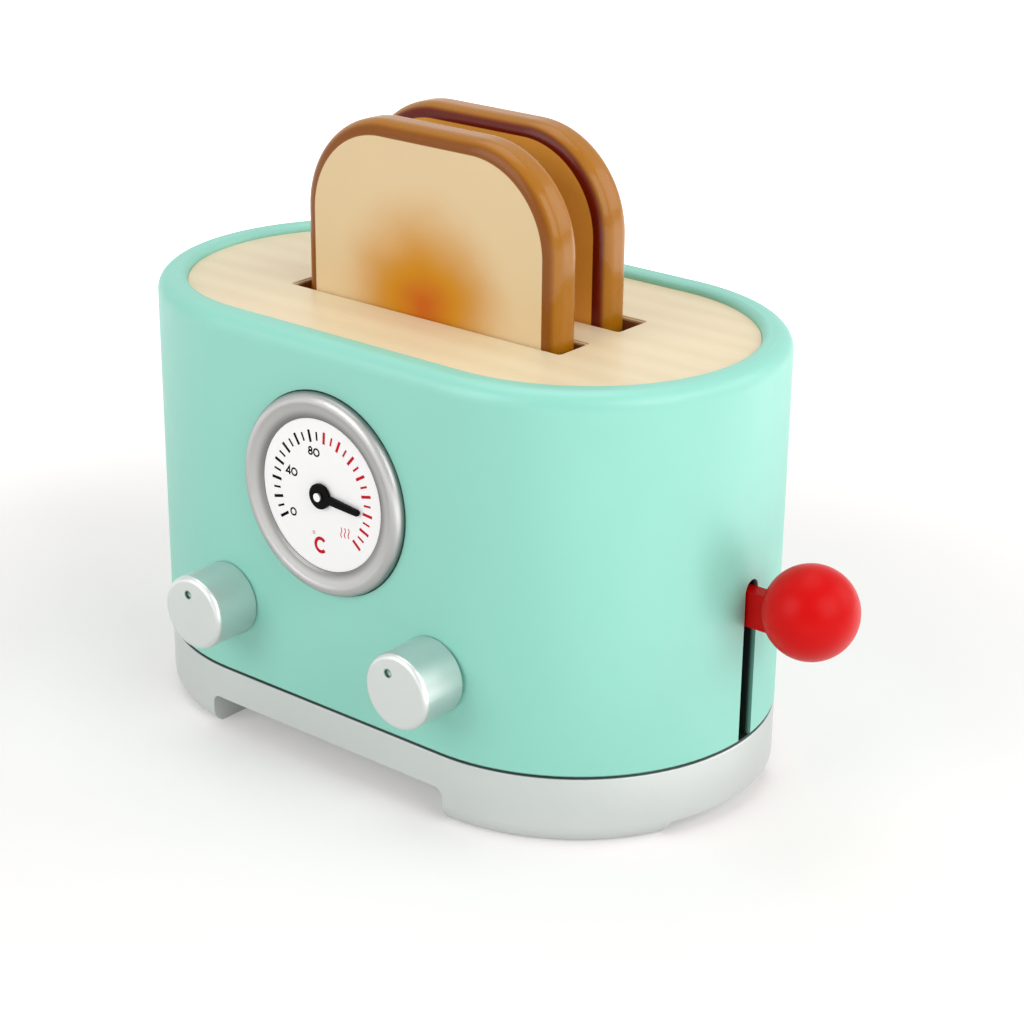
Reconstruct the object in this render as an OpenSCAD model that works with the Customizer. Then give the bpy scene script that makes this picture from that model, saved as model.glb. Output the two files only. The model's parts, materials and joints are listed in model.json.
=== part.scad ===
// Toy toaster with a sprung carriage, two lift-out slices, a dial gauge and two turning knobs.
// Millimetres, +Z up. The origin is on the ground, in the middle of the body's footprint.
// The long side of the body runs along X, the front with the gauge faces -Y and the lever is at +X.

/* [Body] */
// Length of the body along X
body_len = 170; // [160:1:185]
// Depth of the body along Y, also the diameter of its round ends
body_depth = 100; // [94:1:110]
// Height of the painted shell, from the base to the rim
shell_h = 92.8; // [90:0.1:105]
// Thickness of the shell's wall
wall = 12; // [11:0.5:13]
// Radius that rounds the outer edge of the rim
rim_round = 4; // [3:0.5:8]
// Radius that rounds the inner edge of the rim
rim_inner_round = 1.8; // [0.6:0.1:1.8]
// Chamfer on both sides of the seam between shell and base
seam_chamfer = 0.6; // [0.3:0.1:1]

/* [Base] */
// Height of the base
base_h = 17.5; // [16:0.1:22]
// Radius of the curve under the base's edge
sole_round = 4.5; // [4:0.5:8]
// How far the sole of the base lies inside its outline
sole_inset = 2.8; // [1.5:0.1:3.8]
// Length of the arch between the feet, front and back
arch_len = 76.8; // [60:0.2:80]
// Height of that arch
arch_h = 8.5; // [5:0.5:9]
// Radius of the upper corners of the arch
arch_round = 2.5; // [1:0.5:4]
// Shift of the arch along X
arch_shift = -2.5; // [-4:0.5:4]
// Width of the shallow arch at the ends
end_arch_w = 42; // [30:1:50]
// Height of the shallow arch
end_arch_h = 3.4; // [2:0.1:4.5]
// Height of the plug that centres the shell on the base
plug_h = 3; // [2:0.5:5]
// Clearance around that plug
plug_clear = 0.25; // [0.1:0.05:0.5]

/* [Top plate] */
// Width of the painted rim at the ends
rim_end = 7.4; // [7:0.1:10.8]
// Width of the painted rim at the front and back
rim_side = 8; // [8:0.1:10.5]
// Depth of the plate below the rim
plate_recess = 1.8; // [1.6:0.1:5]
// Thickness of the plate
plate_t = 8; // [6:0.5:10]
// Chamfer on the plate's slots
slot_chamfer = 0.4; // [0.2:0.1:0.8]
// Distance between the middles of the two slots
slot_pitch = 22.2; // [22:0.2:27]
// Spare length of a slot, past the length of a slice
slot_spare = 6.2; // [5:0.2:7]
// Clearance on each face of a slice
slot_clear = 0.3; // [0.25:0.05:0.5]
// Radius of the slots' corners
slot_corner = 1; // [0.5:0.1:2]

/* [Slices] */
// Width of a slice
slice_w = 78.1; // [70:0.1:80]
// Height of a slice
slice_h = 84.5; // [75:0.5:95]
// Thickness of a slice
slice_t = 9.9; // [9:0.1:11]
// Radius of the two upper corners
slice_crown = 25; // [18:0.5:30]
// Radius of the two lower corners
slice_foot = 5; // [4.6:0.2:8]
// Radius that rounds the edges
slice_edge = 3.6; // [2:0.1:4.4]
// Height of a slice above the plate with the lever up
slice_show = 45.2; // [35:0.2:50]
// Place of the front slice along its slot
front_shift = 1.1; // [-2.4:0.1:2.4]
// Place of the back slice along its slot
back_shift = -1.6; // [-2.4:0.1:2.4]

/* [Carriage] */
// Travel of the lever and the carriage
travel = 26; // [20:0.5:27]
// Thickness of the tray under the slices
tray_t = 5; // [4:0.5:6]
// Height of the fences that keep the slices upright
fence_h = 6; // [4:0.5:8]
// Thickness of the outer fences
fence_t = 3; // [2:0.5:4]
// Distance between the two guide rods
rod_span = 116; // [112:0.5:118]
// Diameter of the guide rods
rod_d = 4; // [3:0.5:5]
// Radial running clearance of the carriage on its rods
rod_clear = 0.06; // [0.02:0.01:0.1]
// Depth of the rods' blind holes in base and plate
rod_seat = 4; // [3:0.5:5]
// Diameter of the hubs that run on the rods
hub_d = 15; // [13:0.5:16]
// Length of the hubs
hub_h = 14; // [10:0.5:16]
// Height of the hubs above the tray's upper face
hub_rise = 2.4; // [0:0.2:4]
// Width of the bars that join the tray and the hubs
bar_w = 12; // [10:0.5:14]
// Outer diameter of the spacer tubes above the hubs
sleeve_d = 10; // [8:0.5:12]
// Thickness of the rubber rings that stop the carriage
bumper_t = 2.5; // [1.5:0.5:4]
// Thickness of the felt pad that the carriage lands on
pad_t = 1.6; // [1:0.2:2]

/* [Springs] */
// Wire diameter of the return springs
wire_d = 1; // [0.8:0.1:1.2]
// Outer diameter of the springs
spring_d = 10; // [9:0.2:11]
// Turns of each spring
spring_turns = 8; // [6:1:9]
// Gap between the ends of a spring and its seats
spring_gap = 0.2; // [0.1:0.05:0.4]

/* [Lever] */
// Place of the lever across the body
lever_y = 2.5; // [0:0.5:4]
// Thickness of the lever's arm
arm_t = 4; // [3:0.2:4.6]
// Height of the arm
arm_h = 8.9; // [7:0.1:10]
// Height of the arm's middle above the ground, with the lever up
arm_z = 52; // [52:0.1:54]
// Clearance on each side of the arm in its slot
arm_clear = 0.7; // [0.5:0.1:1]
// Space over the arm in its slot
arm_head = 2.3; // [1.5:0.1:4]
// Diameter of the ball
ball_d = 22.5; // [20:0.5:24]
// Distance from the end of the body to the middle of the ball
ball_reach = 16.1; // [14.5:0.1:20]
// Height of the ball's middle above the arm's middle
ball_rise = 3.2; // [0:0.1:4.2]
// Depth of the arm in the ball, past the ball's middle plane when positive
ball_seat = -3; // [-4:0.5:2]
// Clearance of the arm in the ball's pocket
pocket_clear = 0.05; // [0.02:0.01:0.1]

/* [Knobs] */
// Diameter of the knobs
knob_d = 18.6; // [16:0.2:22]
// Length of the knobs
knob_l = 12.8; // [9:0.2:16]
// Radius that rounds the front edge of a knob
knob_round = 1.3; // [0.5:0.1:2.5]
// Distance between the two knobs
knob_span = 66.2; // [60:0.2:71]
// Height of the knobs' axes above the ground
knob_z = 37.6; // [34:0.2:40]
// Gap between a knob and the shell
knob_gap = 0.3; // [0.2:0.05:0.6]
// Diameter of the mark drilled in a knob's face
dimple_d = 1.9; // [1:0.1:3]
// Distance of that mark from the knob's axis
dimple_r = 4.8; // [3:0.1:6]
// Angle of the left knob's mark from the top
left_turn = -12; // [-180:1:180]
// Angle of the right knob's mark from the top
right_turn = -25; // [-180:1:180]
// Diameter of the knobs' axles
axle_d = 6; // [5:0.5:7]
// Diameter of the retaining washers inside the shell
washer_d = 12; // [10:0.5:14]
// Thickness of the retaining washers
washer_t = 1.6; // [1:0.1:2]

/* [Gauge] */
// Diameter of the gauge's ring
gauge_d = 49.8; // [44:0.2:52]
// Height of the gauge's middle above the ground
gauge_z = 73.5; // [71:0.1:75]
// Diameter of the printed dial
dial_d = 37.4; // [34:0.2:38]
// Depth of the gauge's pocket in the shell
pocket_depth = 5; // [4:0.5:6]
// Height of the ring's bead above the shell
bead_proud = 2.5; // [2:0.1:3.5]
// Height of the dial above the shell
dial_proud = 1.2; // [0.8:0.1:1.6]
// Thickness of the dial
dial_t = 2; // [1:0.1:2.5]
// Length of the pointer, from its axis to its tip
pointer_l = 12.4; // [9:0.2:13]
// Thickness of the pointer
pointer_t = 0.7; // [0.6:0.1:1.2]
// Diameter of the pointer's hub
pointer_hub_d = 6.2; // [5:0.2:8]
// Angle of the pointer from the horizontal
pointer_angle = -5.5; // [-45:0.5:210]
// Diameter of the pointer's pin
pin_d = 1.4; // [1.2:0.1:2]

/* [Fixings] */
// Radial clearance of glued and pressed round pieces
press_clear = 0.03; // [0.01:0.01:0.06]
// Radial clearance of the axles and the pointer's pin in the pieces that turn on them
turn_clear = 0.05; // [0.02:0.01:0.1]
// Clearance around the plate in its rebate
plate_clear = 0.1; // [0.05:0.05:0.2]
// Diameter of the base screws
screw_d = 3.5; // [3:0.1:4]
// Length of the base screws under the head
screw_l = 26; // [20:1:32]
// Angle of the base screws round the body's ends
screw_angle = 50; // [42:1:56]
// Diameter of the machine screws that hold the lever
lever_screw_d = 2.5; // [2:0.1:3]

/* [Hidden] */
$fn = 96;
eps = 0.01;
mint = [0.58, 0.86, 0.78];
silver = [0.78, 0.8, 0.8];
maple = [0.93, 0.85, 0.7];
crust = [0.68, 0.44, 0.14];
steel = [0.62, 0.63, 0.65];

// Body, cavity and plate
straight = body_len - body_depth;
end_x = straight / 2;
body_r = body_depth / 2;
rim_z = base_h + shell_h;
cavity_len = body_len - 2 * wall;
cavity_depth = body_depth - 2 * wall;
plate_len = body_len - 2 * rim_end;
plate_depth = body_depth - 2 * rim_side;
plate_z = rim_z - plate_recess;
plate_under = plate_z - plate_t;
plug_z = base_h + plug_h;

// Slices, slots and carriage
side_gap = 0.3;
room = 1;
slot_len = slice_w + slot_spare;
slot_w = slice_t + 2 * slot_clear;
tray_z = plate_z + slice_show - slice_h;
tray_len = slot_len;
tray_depth = slot_pitch + slot_w + 2 * fence_t;
rod_x = rod_span / 2;
rod_foot = base_h - rod_seat;
rod_head = plate_under + rod_seat;
hub_top = tray_z + hub_rise;
hub_under = hub_top - hub_h;
sleeve_foot = hub_top + bumper_t;

// Lever
arm_low = arm_z - arm_h / 2;
arm_top = arm_z + arm_h / 2;
arm_face = lever_y - arm_t / 2;
stem_foot = plug_z + pad_t + travel;
stem_t = 8;
stem_w = 5.2;
stem_x0 = rod_x + hub_d / 2 + side_gap;
stem_x1 = stem_x0 + stem_w;
stem_x = (stem_x0 + stem_x1) / 2;
tab_top = tray_z;
lever_screw_edge = 2.8;
lever_screw_zs = [max(arm_low, stem_foot) + lever_screw_edge, tab_top - lever_screw_edge];
lever_slot_w = arm_t + 2 * arm_clear;
ball_x = body_len / 2 + ball_reach;
ball_z = arm_z + ball_rise;

// Fixings
screw_inset = 7.5;
screw_ring = body_r - screw_inset;
screw_head_d = 6.8;
screw_head_h = 2.4;
counterbore_d = 7.4;
counterbore_h = 5;
wall_in_y = -(body_r - wall);

// ---------------------------------------------------------------- shapes that repeat

// Outline with straight sides and half-round ends.
module stadium(len, depth) {
    square([len - depth, depth], center = true);
    for (side = [-1, 1]) translate([side * (len - depth) / 2, 0]) circle(d = depth);
}

// Solid whose half profile, drawn as radius and height, runs round a stadium.
module turned_stadium(len, depth) {
    half = (len - depth) / 2;
    translate([half, 0, 0]) rotate(-90) rotate_extrude(angle = 180) children();
    translate([-half, 0, 0]) rotate(90) rotate_extrude(angle = 180) children();
    rotate([90, 0, 90]) linear_extrude(2 * half, center = true) {
        children();
        mirror([1, 0]) children();
    }
}

// Rectangle from the origin with its outer upper corner rounded.
module edge_profile(r, h, round) {
    square([r - round, h]);
    square([r, h - round]);
    translate([r - round, h - round]) circle(round);
}

// Rectangle from the Y axis outwards, with its two far corners rounded.
module nose_profile(r, t, round) {
    intersection() {
        translate([0, -t / 2]) square([r, t]);
        union() {
            translate([0, -t / 2]) square([r - round, t]);
            translate([0, round - t / 2]) square([r, t - 2 * round]);
            for (side = [-1, 1]) translate([r - round, side * (t / 2 - round)]) circle(round);
        }
    }
}

// Cylinder along Y from y0 to y1.
module along_y(d, y0, y1) {
    translate([0, y1, 0]) rotate([90, 0, 0]) cylinder(d = d, h = y1 - y0);
}

// Children at each side of the body.
module both_rods() {
    for (side = [-1, 1]) translate([side * rod_x, 0, 0]) children();
}

// Places of the base screws under the shell's wall.
module at_screws() {
    for (sx = [-1, 1], sy = [-1, 1])
        translate([
            sx * (end_x + screw_ring * cos(screw_angle)),
            sy * screw_ring * sin(screw_angle), 0
        ]) children();
}

// Rounded rectangle, used for the slots.
module slot_outline(grow = 0) {
    w = slot_len + 2 * grow;
    d = slot_w + 2 * grow;
    square([w - 2 * slot_corner, d], center = true);
    square([w, d - 2 * slot_corner], center = true);
    for (sx = [-1, 1], sy = [-1, 1])
        translate([sx * (w / 2 - slot_corner), sy * (d / 2 - slot_corner)]) circle(slot_corner);
}

// ---------------------------------------------------------------- housing

// Arch with rounded upper corners, as a profile on the ground.
module arch(len, h, round) {
    translate([-len / 2, -1]) square([len, h + 1 - round]);
    translate([round - len / 2, 0]) square([len - 2 * round, h]);
    for (side = [-1, 1]) translate([side * (len / 2 - round), h - round]) circle(round);
}

// Half profile of the base: flat sole, curved edge and a chamfer at the seam.
module base_profile() {
    inner = body_r - sole_round;
    drop = sqrt(pow(sole_round, 2) - pow(sole_round - sole_inset, 2));
    intersection() {
        square([body_r, base_h]);
        union() {
            translate([inner, drop]) circle(sole_round);
            polygon([
                [0, 0], [inner, 0], [inner, drop], [body_r, drop],
                [body_r, base_h - seam_chamfer], [body_r - seam_chamfer, base_h], [0, base_h]
            ]);
        }
    }
}

module base() color(silver) difference() {
    union() {
        turned_stadium(body_len, body_depth) base_profile();
        translate([0, 0, base_h - 1]) linear_extrude(plug_h + 1)
            stadium(cavity_len - 2 * plug_clear, cavity_depth - 2 * plug_clear);
    }
    translate([arch_shift, 0, 0]) rotate([90, 0, 0])
        linear_extrude(body_depth + 2, center = true) arch(arch_len, arch_h, arch_round);
    rotate([90, 0, 90]) linear_extrude(body_len + 2, center = true)
        arch(end_arch_w, end_arch_h, end_arch_h / 2);
    both_rods() translate([0, 0, rod_foot]) cylinder(d = rod_d + 2 * press_clear, h = base_h);
    at_screws() {
        translate([0, 0, -1]) cylinder(d = counterbore_d, h = counterbore_h + 1);
        cylinder(d = screw_d + 2 * press_clear, h = base_h + 1);
    }
}

module base_screws() color(steel) at_screws() {
    translate([0, 0, counterbore_h - screw_head_h]) difference() {
        cylinder(d = screw_head_d, h = screw_head_h);
        for (turn = [0, 90]) rotate(turn)
            cube([screw_head_d * 0.6, 0.9, screw_head_h], center = true);
    }
    translate([0, 0, counterbore_h]) cylinder(d = screw_d, h = screw_l);
}

// Half profile of the shell: a chamfer at the seam and the rounded rim.
module shell_profile() {
    inner = body_r - rim_round;
    shoulder = shell_h - rim_round;
    translate([inner, shoulder]) circle(rim_round);
    polygon([
        [0, 0], [body_r - seam_chamfer, 0], [body_r, seam_chamfer],
        [body_r, shoulder], [inner, shoulder], [inner, shell_h], [0, shell_h]
    ]);
}

// Rebate for the plate, flared where the rim's inner edge is rounded.
module rebate_profile() {
    r = plate_depth / 2 + plate_clear;
    top = plate_t + plate_recess;
    square([r, top + 1]);
    difference() {
        translate([0, top - rim_inner_round]) square([r + rim_inner_round, rim_inner_round + 1]);
        translate([r + rim_inner_round, top - rim_inner_round]) circle(rim_inner_round);
    }
}

// Slot for the lever's arm, open at the seam and round at the top.
module lever_slot() {
    top = arm_top + arm_head;
    translate([cavity_len / 2 - wall, lever_y, 0]) rotate([90, 0, 90]) linear_extrude(3 * wall) {
        translate([-lever_slot_w / 2, base_h - 1])
            square([lever_slot_w, top - lever_slot_w / 2 - base_h + 1]);
        translate([0, top - lever_slot_w / 2]) circle(d = lever_slot_w);
    }
}

// Room that the carriage needs on its way, cut from the shell where the cavity is tighter.
module carriage_room() {
    both_rods() translate([0, 0, base_h - 1])
        cylinder(d = hub_d + 2 * room, h = sleeve_foot - base_h + 1);
    translate([rod_x, arm_face - stem_t - room, base_h - 1])
        cube([stem_x1 - rod_x + room, stem_t + arm_t + 2 * room, tray_z + room - base_h + 1]);
    translate([-tray_len / 2 - room, -tray_depth / 2 - room, tray_z - tray_t - travel - room])
        cube([tray_len + 2 * room, tray_depth + 2 * room, travel + tray_t + fence_h + 2 * room]);
}

module body_shell() color(mint) difference() {
    translate([0, 0, base_h]) turned_stadium(body_len, body_depth) shell_profile();
    translate([0, 0, base_h - 1]) linear_extrude(shell_h + 2) stadium(cavity_len, cavity_depth);
    translate([0, 0, plate_under])
        turned_stadium(plate_len + 2 * plate_clear, plate_depth + 2 * plate_clear) rebate_profile();
    carriage_room();
    lever_slot();
    // Bores for the knobs' axles, spot-faced for the washers
    for (side = [-1, 1]) at_knob(side) {
        along_y(axle_d + 2 * turn_clear, -body_r - 1, wall_in_y + 1);
        along_y(washer_d + 2 * room, wall_in_y, wall_in_y + washer_gap + washer_t + 2);
    }
    translate([0, 0, gauge_z]) {
        along_y(gauge_d + 2 * gauge_clear, -body_r - 1, -body_r + pocket_depth);
        along_y(pin_d + 2 * press_clear, -body_r - 1, pin_end_y + 0.2);
    }
    at_screws() cylinder(d = screw_d + 2 * press_clear, h = counterbore_h + screw_l + 1);
}

module top_plate() color(maple) difference() {
    translate([0, 0, plate_under]) linear_extrude(plate_t) stadium(plate_len, plate_depth);
    for (side = [-1, 1]) translate([0, side * slot_pitch / 2, 0]) {
        translate([0, 0, plate_under - 1]) linear_extrude(plate_t + 2) slot_outline();
        translate([0, 0, plate_z - slot_chamfer]) linear_extrude(plate_t) slot_outline(slot_chamfer);
    }
    both_rods() translate([0, 0, plate_under - 1])
        cylinder(d = rod_d + 2 * press_clear, h = rod_seat + 1.2);
}

// ---------------------------------------------------------------- slices

// Bread-shaped board, standing on its lower edge, with every edge rounded.
module slice() {
    half = slice_w / 2;
    shoulder = slice_h - slice_crown;
    // Crown: two quarter turns and the straight top between them
    for (side = [0, 1]) mirror([side, 0, 0])
        translate([half - slice_crown, 0, shoulder]) rotate([90, 0, 0])
            rotate_extrude(angle = 90) nose_profile(slice_crown, slice_t, slice_edge);
    translate([0, 0, shoulder]) rotate([0, -90, 0])
        linear_extrude(slice_w - 2 * slice_crown, center = true)
            nose_profile(slice_crown, slice_t, slice_edge);
    // Sides
    translate([0, 0, slice_foot]) linear_extrude(shoulder - slice_foot)
        for (side = [0, 1]) mirror([side, 0]) nose_profile(half, slice_t, slice_edge);
    // Foot: two quarter turns and the straight bottom between them
    for (side = [0, 1]) mirror([side, 0, 0])
        translate([half - slice_foot, 0, slice_foot]) rotate([90, 0, 0]) rotate(-90)
            rotate_extrude(angle = 90) nose_profile(slice_foot, slice_t, slice_edge);
    translate([0, 0, slice_foot]) rotate([0, 90, 0])
        linear_extrude(slice_w - 2 * slice_foot, center = true)
            nose_profile(slice_foot, slice_t, slice_edge);
}

module toast_front() color(crust) translate([front_shift, -slot_pitch / 2, tray_z]) slice();
module toast_back() color(crust) translate([back_shift, slot_pitch / 2, tray_z]) slice();

// ---------------------------------------------------------------- carriage and lever

module carriage() color(maple) difference() {
    union() {
        // Tray and its fences
        translate([-tray_len / 2, -tray_depth / 2, tray_z - tray_t])
            cube([tray_len, tray_depth, tray_t]);
        inner_fence = slot_pitch - slot_w;
        translate([-tray_len / 2, -inner_fence / 2, tray_z - eps])
            cube([tray_len, inner_fence, fence_h]);
        for (side = [-1, 1])
            translate([-tray_len / 2, side * (tray_depth - fence_t) / 2 - fence_t / 2, tray_z - eps])
                cube([tray_len, fence_t, fence_h]);
        // Bars and hubs
        translate([-rod_x, -bar_w / 2, tray_z - tray_t]) cube([rod_span, bar_w, tray_t]);
        both_rods() translate([0, 0, hub_under]) cylinder(d = hub_d, h = hub_h);
        // Stem for the lever, beside the arm
        translate([rod_x, arm_face - stem_t, tray_z - tray_t])
            cube([stem_x1 - rod_x, stem_t, tray_t]);
        translate([stem_x0, arm_face - stem_t, stem_foot])
            cube([stem_x1 - stem_x0, stem_t, tray_z - stem_foot]);
    }
    both_rods() translate([0, 0, hub_under - 1])
        cylinder(d = rod_d + 2 * rod_clear, h = hub_h + 2);
    for (z = lever_screw_zs) translate([stem_x, 0, z])
        along_y(lever_screw_d + 2 * press_clear, arm_face - 6.5, arm_face + 1);
}

module lever_arm() color("red") difference() {
    union() {
        translate([stem_x0, arm_face, arm_low]) cube([ball_x + ball_seat - stem_x0, arm_t, arm_h]);
        translate([stem_x0, arm_face, arm_low]) cube([stem_x1 - stem_x0, arm_t, tab_top - arm_low]);
    }
    for (z = lever_screw_zs) translate([stem_x, 0, z])
        along_y(lever_screw_d + 2 * press_clear, arm_face - 1, arm_face + arm_t + 1);
}

module lever_screws() color(steel)
    for (z = lever_screw_zs) translate([stem_x, 0, z]) {
        along_y(lever_screw_d, arm_face - 6, arm_face + arm_t);
        along_y(lever_screw_d * 1.8, arm_face + arm_t, arm_face + arm_t + 1.6);
    }

module lever_ball() color("red") difference() {
    translate([ball_x, lever_y, ball_z]) sphere(d = ball_d);
    translate([
        ball_x - ball_d, arm_face - pocket_clear, arm_low - pocket_clear
    ]) cube([ball_d + ball_seat + pocket_clear, arm_t + 2 * pocket_clear, arm_h + 2 * pocket_clear]);
}

module guide_rod() color(steel) translate([0, 0, rod_foot]) cylinder(d = rod_d, h = rod_head - rod_foot);
module guide_rod_left() translate([-rod_x, 0, 0]) guide_rod();
module guide_rod_right() translate([rod_x, 0, 0]) guide_rod();

module tube(d, bore, z0, z1) translate([0, 0, z0]) difference() {
    cylinder(d = d, h = z1 - z0);
    translate([0, 0, -1]) cylinder(d = bore, h = z1 - z0 + 2);
}

module stop_sleeve() color("white")
    tube(sleeve_d, rod_d + 2 * press_clear, sleeve_foot, plate_under);
module stop_sleeve_left() translate([-rod_x, 0, 0]) stop_sleeve();
module stop_sleeve_right() translate([rod_x, 0, 0]) stop_sleeve();

module bumper_rings() color("dimgray")
    both_rods() tube(sleeve_d, rod_d + 2 * press_clear, hub_top, sleeve_foot);

module landing_pad() color("dimgray")
    translate([stem_x0, arm_face - stem_t, plug_z]) cube([stem_x1 - stem_x0, stem_t, pad_t]);

// Return spring: a helix round a guide rod, with its end turns closed up.
spring_z0 = plug_z + spring_gap;
spring_z1 = hub_under - spring_gap;
spring_rings = 8;
spring_sides = 6;
closed_pitch = wire_d + 0.45;
open_pitch = (spring_z1 - spring_z0 - wire_d - 2 * closed_pitch) / (spring_turns - 2);
function coil_z(turn) =
    spring_z0 + wire_d / 2
    + closed_pitch * min(turn, 1)
    + open_pitch * max(0, min(turn, spring_turns - 1) - 1)
    + closed_pitch * max(0, turn - spring_turns + 1);
function outwards(turn) = [cos(360 * turn), sin(360 * turn), 0];
function coil_middle(turn) = (spring_d - wire_d) / 2 * outwards(turn) + [0, 0, coil_z(turn)];
function coil_point(turn, side) =
    let (around = 360 * side / spring_sides)
    coil_middle(turn) + wire_d / 2 * (cos(around) * outwards(turn) + [0, 0, sin(around)]);

// Least gap of a spring to itself, measured between the points of its turns
coil_middles = [for (ring = [0:spring_turns * spring_rings]) coil_middle(ring / spring_rings)];
last_ring = len(coil_middles) - 1;
least_spring_gap = min([
    for (ring = [0:last_ring - spring_rings], later = [ring + spring_rings / 2:last_ring])
        norm(coil_middles[later] - coil_middles[ring]) - wire_d
]);
echo(least_spring_gap = least_spring_gap);

module spring() color(steel) {
    rings = spring_turns * spring_rings;
    points = [
        for (ring = [0:rings], side = [0:spring_sides - 1])
            coil_point(ring / spring_rings, side)
    ];
    sides = [
        for (ring = [0:rings - 1], side = [0:spring_sides - 1])
            let (
                here = ring * spring_sides + side,
                next = ring * spring_sides + (side + 1) % spring_sides
            )
            each [
                [here, next, here + spring_sides],
                [next, next + spring_sides, here + spring_sides]
            ]
    ];
    last = rings * spring_sides;
    ends = [
        for (side = [1:spring_sides - 2])
            each [[0, side + 1, side], [last, last + side, last + side + 1]]
    ];
    polyhedron(points, concat(sides, ends), convexity = 10);
}
module spring_left() translate([-rod_x, 0, 0]) spring();
module spring_right() translate([rod_x, 0, 0]) spring();

// ---------------------------------------------------------------- gauge

gauge_clear = 0.25;
shelf_w = 2.6;
pin_head_d = pin_d + 0.7;
pointer_back = dial_proud + 0.25;
pin_head_back = pointer_back + pointer_t + 0.25;
pin_end_y = -body_r + pocket_depth + 3.5;
pointer_root_w = 2.2;
pointer_tip_w = 1.5;
tip_x = pointer_l - pointer_tip_w / 2;

// Children drawn as radius and height above the shell's front, turned round the gauge's axis.
module on_gauge() translate([0, -body_r, gauge_z]) rotate([90, 0, 0]) rotate_extrude() children();

module gauge_ring() color(silver) on_gauge() {
    ring_r = gauge_d / 2;
    dial_r = dial_d / 2;
    bead = 2;
    slope = ring_r - bead - dial_r;
    // Wall in the pocket and the shelf that carries the dial
    difference() {
        translate([dial_r - shelf_w, -pocket_depth])
            square([ring_r - dial_r + shelf_w, pocket_depth + 0.7]);
        translate([dial_r - shelf_w - 1, dial_proud - dial_t]) square([shelf_w + 1, pocket_depth]);
    }
    // Outer bead
    translate([ring_r - bead, bead_proud - bead]) circle(bead);
    // Slope from the bead down to the dial
    polygon([
        [dial_r, 0], [ring_r - bead, 0], [ring_r - bead, bead_proud],
        [dial_r + 0.65 * slope, bead_proud - 0.35], [dial_r + 0.18 * slope, dial_proud + 0.5],
        [dial_r, dial_proud + 0.15]
    ]);
}

module gauge_face() color("white") on_gauge()
    translate([pin_d / 2 + press_clear, dial_proud - dial_t])
        square([dial_d / 2 - 0.05 - pin_d / 2 - press_clear, dial_t]);

module gauge_pointer() color("black")
    translate([0, -body_r - pointer_back, gauge_z]) rotate([90, 0, 0]) difference() {
        union() {
            cylinder(d = pointer_hub_d, h = pointer_t);
            rotate(pointer_angle) {
                linear_extrude(pointer_t) polygon([
                    [0, -pointer_root_w / 2], [0, pointer_root_w / 2],
                    [tip_x, pointer_tip_w / 2], [tip_x, -pointer_tip_w / 2]
                ]);
                translate([tip_x, 0, 0]) cylinder(d = pointer_tip_w, h = pointer_t);
            }
        }
        translate([0, 0, -1]) cylinder(d = pin_d + 2 * turn_clear, h = pointer_t + 2);
    }

module gauge_pin() color(silver) on_gauge() {
    translate([0, -body_r - pin_end_y]) square([pin_d / 2, body_r + pin_end_y + pin_head_back]);
    translate([0, pin_head_back]) square([pin_head_d / 2, 0.5]);
}

// ---------------------------------------------------------------- knobs

axle_seat = 8;
washer_gap = 0.5;
dimple_depth = 0.8;
knob_back_y = -body_r - knob_gap;

// Knob with its drilled mark turned away from the top.
module knob(turn) color(silver) difference() {
    translate([0, knob_back_y, 0]) rotate([90, 0, 0]) rotate_extrude()
        edge_profile(knob_d / 2, knob_l, knob_round);
    along_y(axle_d + 2 * press_clear, knob_back_y - axle_seat, knob_back_y + 1);
    rotate([0, turn, 0]) translate([0, knob_back_y - knob_l, dimple_r]) rotate([-90, 0, 0])
        rotate_extrude() polygon([
            [0, -1], [dimple_d / 2, -1], [dimple_d / 2, dimple_depth],
            [0, dimple_depth + dimple_d / 4]
        ]);
}

// Axle from the knob's bore to the washer inside the shell.
module axle() color(steel)
    along_y(axle_d, knob_back_y - axle_seat + 0.1, wall_in_y + washer_gap + washer_t + 1.2);
module washer() color(steel) translate([0, wall_in_y + washer_gap, 0]) difference() {
    along_y(washer_d, 0, washer_t);
    along_y(axle_d + 2 * press_clear, -1, washer_t + 1);
}
module at_knob(side) translate([side * knob_span / 2, 0, knob_z]) children();

module knob_left() at_knob(-1) knob(left_turn);
module knob_right() at_knob(1) knob(right_turn);
module knob_left_axle() at_knob(-1) axle();
module knob_right_axle() at_knob(1) axle();
module knob_left_washer() at_knob(-1) washer();
module knob_right_washer() at_knob(1) washer();

body_shell();
top_plate();
base();
base_screws();
toast_front();
toast_back();
carriage();
lever_arm();
lever_screws();
lever_ball();
guide_rod_left();
guide_rod_right();
spring_left();
spring_right();
stop_sleeve_left();
stop_sleeve_right();
bumper_rings();
landing_pad();
gauge_ring();
gauge_face();
gauge_pointer();
gauge_pin();
knob_left();
knob_right();
knob_left_axle();
knob_right_axle();
knob_left_washer();
knob_right_washer();
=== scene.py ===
"""Looks of a toy toaster: painted wooden body, two bread slices, a dial, two knobs and a red lever.

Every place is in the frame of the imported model: the long side runs along X, the front with the dial
faces -Y and Z points up from the table. Lengths are in metres, but for the strokes of the dial's
print, which are in millimetres from the dial's middle.
"""

from __future__ import annotations

import json
import logging
import math
from dataclasses import dataclass, field
from enum import Enum
from typing import Iterable, Sequence

import bmesh
import bpy
from mathutils import Matrix, Vector

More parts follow.
